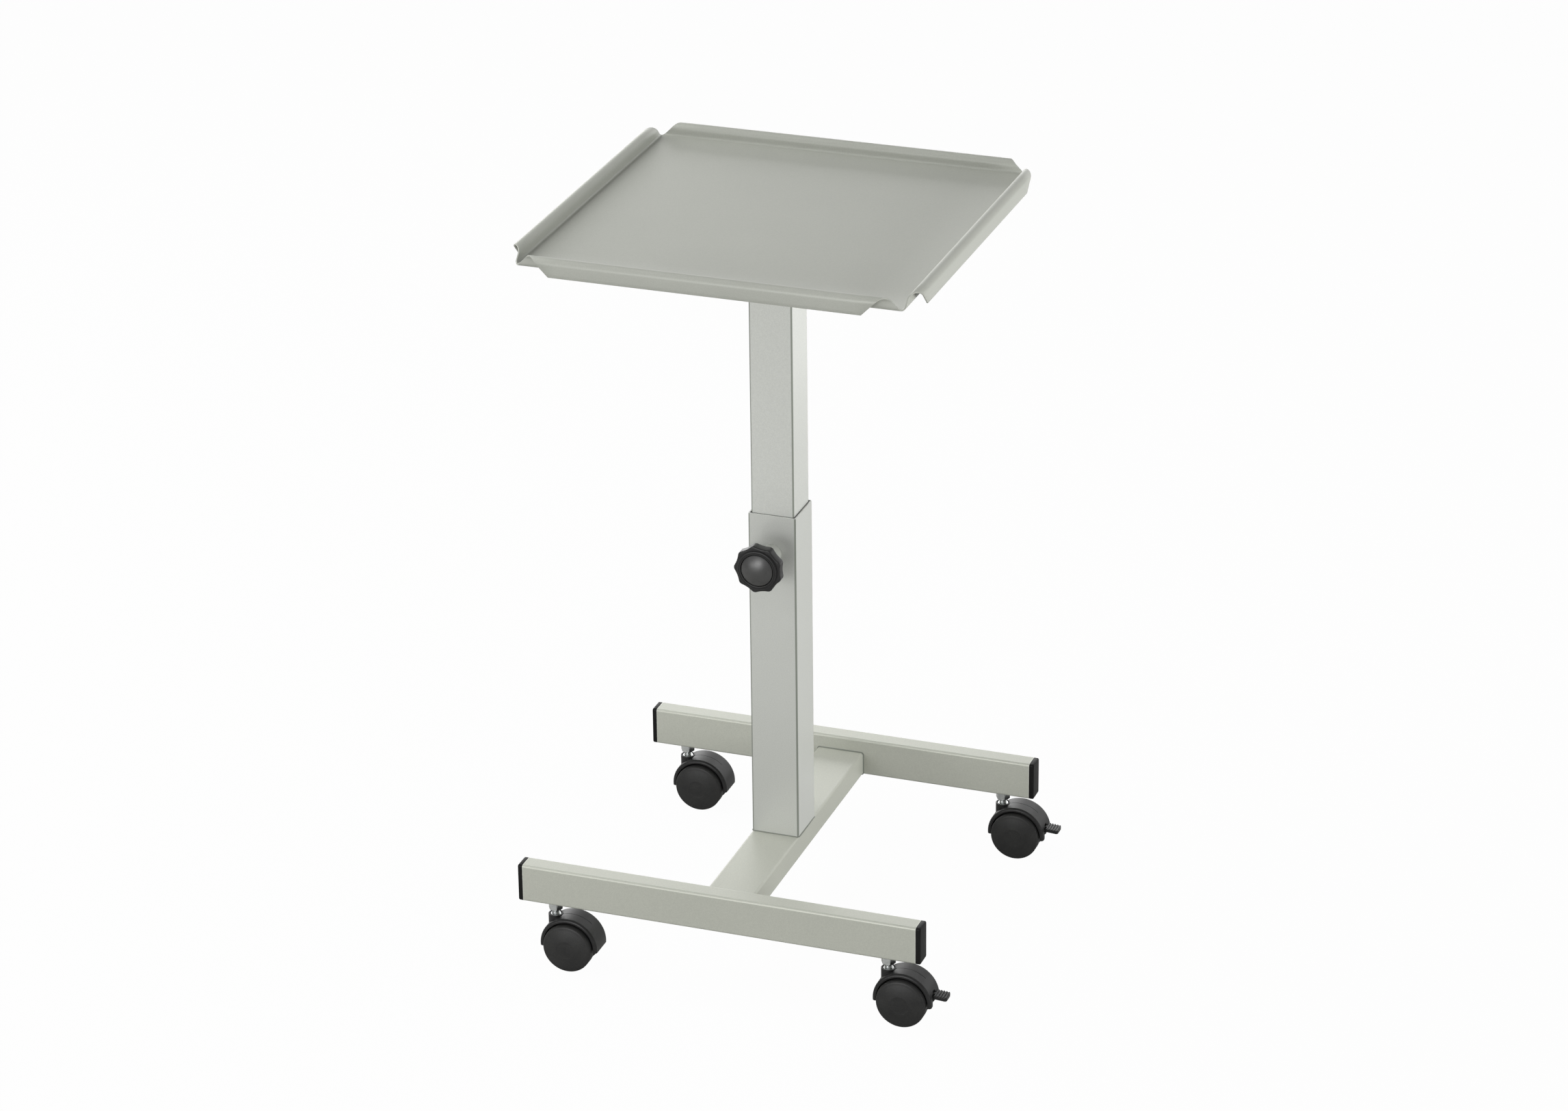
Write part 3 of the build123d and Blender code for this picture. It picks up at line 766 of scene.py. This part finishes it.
# a CAD node's own shape with its flat facets joined and its sharp edges rounded, but not along its seam
def softened(node, radius):
    low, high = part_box(node)
    middle = (low.y + high.y) / 2

    def inSeam(edge):
        return all(abs(point.co.y - middle) < moulded["seam"] * mm for point in edge.verts)

    def isSharp(edge):
        return len(edge.link_faces) == 2 and edge.calc_face_angle(0) > radians(moulded["sharpFrom"])

    form = bmesh.new()
    form.from_mesh(nodes[node].data)
    bmesh.ops.remove_doubles(form, verts=form.verts, dist=moulded["joinWithin"] * mm)
    bmesh.ops.dissolve_limit(form, angle_limit=radians(moulded["flatWithin"]), verts=form.verts,
                             edges=form.edges)
    sharp = [edge for edge in form.edges if isSharp(edge) and not inSeam(edge)]
    bmesh.ops.bevel(form, geom=sharp, offset=radius * mm, segments=moulded["steps"], affect="EDGES",
                    profile=0.5, clamp_overlap=False)
    mesh = bpy.data.meshes.new(node + "_soft")
    form.to_mesh(mesh)
    form.free()
    if "custom_normal" in mesh.attributes:  # the CAD facets' own normals no longer fit the rounded shape
        mesh.attributes.remove(mesh.attributes["custom_normal"])
    return mesh


def makeHoods():
    for corner in corners:
        for kind in ("hood", "pedal"):
            node = f"{kind}_{corner}"
            if node in nodes:  # only the right-hand castors have a pedal
                mesh = softened(node, moulded[kind])
                piece = addPiece(node + "_moulded", mesh, bodyOf(node), hoodPlastic, (node,))
                shading = piece.modifiers.new("shading", "WEIGHTED_NORMAL")
                shading.keep_sharp = True


makeHoods()
print("hoods and pedals moulded")

# end caps: a rounded head flush with the tube, its plug inside
endCap = {
    "width": 20.0,
    "height": 40.0,
    "corner": 2.4,
    "head": 5.0,
    "round": 1.6,
    "plug": 14.0,
    "plugInset": 1.8,
    # the next two are pairs: how far out from the tube's end, and how far in from its sides
    "headFoot": ((0.05, 0.45), (0.3, 0.1), (0.55, 0.0)),
    "tubeEnd": ((-0.65, -0.005), (-0.55, -0.04), (-0.25, -0.05), (-0.08, 0.02), (-0.05, 0.4)),
}


def makeCaps():
    size, head = endCap["round"], endCap["head"]
    capSteps = [(-endCap["plug"], endCap["plugInset"]), (0.0, endCap["plugInset"]), *endCap["headFoot"]]
    capSteps += [(head - size + size * sin(t), size - size * cos(t)) for t in quarterTurn]
    for corner in corners:
        node = "cap_" + corner
        low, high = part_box(node)
        way = 1 if "right" in corner else -1
        legLow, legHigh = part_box(legOf(corner))
        end = legHigh.x if way > 0 else legLow.x
        middle = (low + high) / 2

        def loop(out, inset):
            return [Vector((end + way * out * mm, middle.y + way * u * mm, middle.z + v * mm)) for u, v in
                    sectionLoop(endCap["width"], endCap["height"], endCap["corner"], inset)]

        mesh = skinLoops(node + "_moulded", [loop(*step) for step in capSteps], True, True)
        addPiece(node + "_moulded", mesh, bodyOf(node), capPlastic, (node,))
        # painted highlight: a pale line round the sawn end of the tube, where its edge catches the light
        mesh = skinLoops("tube_end_highlight_" + corner, [loop(*step) for step in endCap["tubeEnd"]])
        addPiece("tube_end_highlight_" + corner, mesh, "base", tubeEndHighlightCoat)


makeCaps()
print("caps and tube ends made")

# welds where the tubes meet, under the coat, drawn dark as painted shade in the joints
weld = {
    "bead": 0.9,
    "sunk": 0.05,  # the bead's edge below the face that the tube stands on
    "lip": 0.2,  # and its top edge inside the tube's wall
    "columnCorner": 2.5,
    "barCorner": 2.0,
}


# a hollow bead round a tube's section, from the face that the tube stands on
def weldBead(name, centre, across, up, out, width, height, corner, body):
    size = weld["bead"]
    steps = [(-size, -weld["sunk"])]
    steps += [(size * (sin(t) - 1), size * (1 - cos(t))) for t in quarterTurn]
    steps.append((weld["lip"], size))
    loops = [[centre + across * u * mm + up * v * mm + out * rise * mm
              for u, v in sectionLoop(width, height, corner, inset)] for inset, rise in steps]
    addPiece(name, skinLoops(name, loops), body, jointShadeCoat)


def makeWelds():
    x, y, z = Vector((1, 0, 0)), Vector((0, 1, 0)), Vector((0, 0, 1))
    for name, node, end, way in (("column_weld", "lower_column", 0, 1), ("mast_weld", "upper_column", 1, -1)):
        low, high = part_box(node)
        width, depth = (high.x - low.x) / mm, (high.y - low.y) / mm
        centre = (low + high) / 2
        centre.z = (low, high)[end].z
        weldBead(name, centre, x, y, z * way, width, depth, weld["columnCorner"], bodyOf(node))
    low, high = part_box("cross_bar")
    width, height = (high.x - low.x) / mm, (high.z - low.z) / mm
    for name, end, way in (("bar_weld_front", 0, 1), ("bar_weld_rear", 1, -1)):
        centre = (low + high) / 2
        centre.y = (low, high)[end].y
        weldBead(name, centre, x, z, y * way, width, height, weld["barCorner"], bodyOf("cross_bar"))


# button-head screws that hold the tray on its plate
screw = {
    "radius": 4.0,
    "height": 2.2,
    "crown": ((0.3, 1.0), (0.7, 0.88), (0.93, 0.65), (1.0, 0.45)),  # shares of the height and the radius
    "socketFlats": 2.5,
    "socketDepth": 1.3,
    "inset": 11.0,  # from the plate's edges
    "segments": 48,
}


def makeScrews():
    low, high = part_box("tray_plate")
    radius, rise = screw["radius"], screw["height"]
    floor = rise - screw["socketDepth"]

    def socket(angle):
        return hexReach(screw["socketFlats"], angle)

    rings = [(0.0, 0.0), (0.0, radius)]
    rings += [(rise * up, radius * out) for up, out in screw["crown"]]
    rings += [(rise, socket), (floor, socket), (floor, 0.0)]
    inset = screw["inset"] * mm
    for i, (sx, sy) in enumerate(((-1, -1), (1, -1), (1, 1), (-1, 1))):
        name = f"tray_screw_{i + 1}"
        spot = ((high.x - inset) * sx, (high.y - inset) * sy, low.z)
        mesh = skinLoops(name, polarLoops(rings, screw["segments"], axisPlace(spot, (0, 0, -1))))
        addPiece(name, mesh, bodyOf("tray_plate"), zinc)


makeWelds()
makeScrews()
print("welds and screws added")

# pale floor and a dim surround; two lamps give the matt light and a weak fill the front,
# and wall, card and glint are soft boxes that only shiny surfaces mirror
studio = {
    "floor": ("#B2B2B0", "#B8B8B6"),
    "floorSize": 30.0,
    "floorGrain": 3.0,  # patches a metre
    "floorWhite": 0.975,  # share of plain white the camera sees in the floor
    "surround": 0.38,  # level of the surround on the object
    "aim": (0.0, 0.0, 0.40),
    # metres; level of a white that faces the lamp; whether it lights matt surfaces, and shows in shiny ones
    "lamps": {
        "main": {"place": (-2.2, -0.3, 2.4), "size": (2.6, 2.6), "level": 1.05, "matt": True, "shine": False},
        "right": {"place": (5.6, -0.8, 0.9), "size": (3.5, 1.6), "level": 0.95, "matt": True, "shine": False},
        "fill": {"place": (-1.1, -3.7, 0.75), "size": (3.0, 1.2), "level": 0.28, "matt": True, "shine": True},
        "wall": {"place": (-0.9, 2.6, 0.8), "size": (4.0, 1.4), "level": 0.62, "matt": False, "shine": True},
        "card": {"place": (0.6, 1.25, 0.1), "size": (1.5, 1.0), "level": 0.2, "matt": False, "shine": True},
        "glint": {"place": (-0.3, -2.75, 1.3), "size": (0.9, 0.6), "level": 0.2, "matt": False,
                  "shine": True},
    },
}


# Matt painted board, which the camera sees nearly white, with the object's shadow in the rest.
def floorPaint():
    material, tree, place = newMaterial("paleStudioFloor")
    grain = addNode(tree, "ShaderNodeTexNoise", {"Scale": studio["floorGrain"], "Detail": 2.0},
                    {"Vector": (place, "Object")})
    dark, light = (hexLinear(tone) for tone in studio["floor"])
    tint = addNode(tree, "ShaderNodeMix", {"data_type": "RGBA", 6: dark, 7: light}, {0: (grain, 0)})
    paint = addNode(tree, "ShaderNodeBsdfDiffuse", links={"Color": (tint, 2)})
    white = addNode(tree, "ShaderNodeEmission", {"Strength": 1.0})
    path = addNode(tree, "ShaderNodeLightPath")
    share = addNode(tree, "ShaderNodeMath", {"operation": "MULTIPLY", 1: studio["floorWhite"]},
                    {0: (path, "Is Camera Ray")})
    mixed = addNode(tree, "ShaderNodeMixShader", links={0: (share, 0), 1: (paint, 0), 2: (white, 0)})
    endMaterial(tree, mixed)
    return material


def addFloor():
    form = bmesh.new()
    half = studio["floorSize"] / 2
    square = ((-1, -1), (1, -1), (1, 1), (-1, 1))
    form.faces.new([form.verts.new((x * half, y * half, 0)) for x, y in square])
    mesh = bpy.data.meshes.new("studio_floor")
    form.to_mesh(mesh)
    form.free()
    mesh.materials.append(floorPaint())
    floor = bpy.data.objects.new("studio_floor", mesh)
    bpy.context.scene.collection.objects.link(floor)


def addSurround():
    world = bpy.data.worlds.new("dim_surround")
    bpy.context.scene.world = world
    world.use_nodes = True
    tree = world.node_tree
    tree.nodes.clear()
    path = addNode(tree, "ShaderNodeLightPath")
    seen = addNode(tree, "ShaderNodeMath", {"operation": "MAXIMUM"},
                   {0: (path, "Is Camera Ray"), 1: (path, "Is Transmission Ray")})
    level = addNode(tree, "ShaderNodeMapRange", {"To Min": studio["surround"], "To Max": 1.0},
                    {"Value": (seen, 0)})
    sky = addNode(tree, "ShaderNodeBackground", {"Color": (1, 1, 1, 1)}, {"Strength": (level, 0)})
    addNode(tree, "ShaderNodeOutputWorld", links={"Surface": (sky, 0)})


def addLamps():
    for name, box in studio["lamps"].items():
        lamp = bpy.data.lights.new("softbox_" + name, "AREA")
        away = Vector(box["place"]) - Vector(studio["aim"])
        lamp.shape = "RECTANGLE"
        lamp.size, lamp.size_y = box["size"]
        lamp.energy = box["level"] * pi * pi * away.length_squared
        light = bpy.data.objects.new("softbox_" + name, lamp)
        light.matrix_world = axisPlace(box["place"], away)
        light.visible_camera = False
        light.visible_diffuse = box["matt"]
        light.visible_glossy = box["shine"]
        bpy.context.scene.collection.objects.link(light)


addFloor()
addSurround()
addLamps()
print("studio lit")
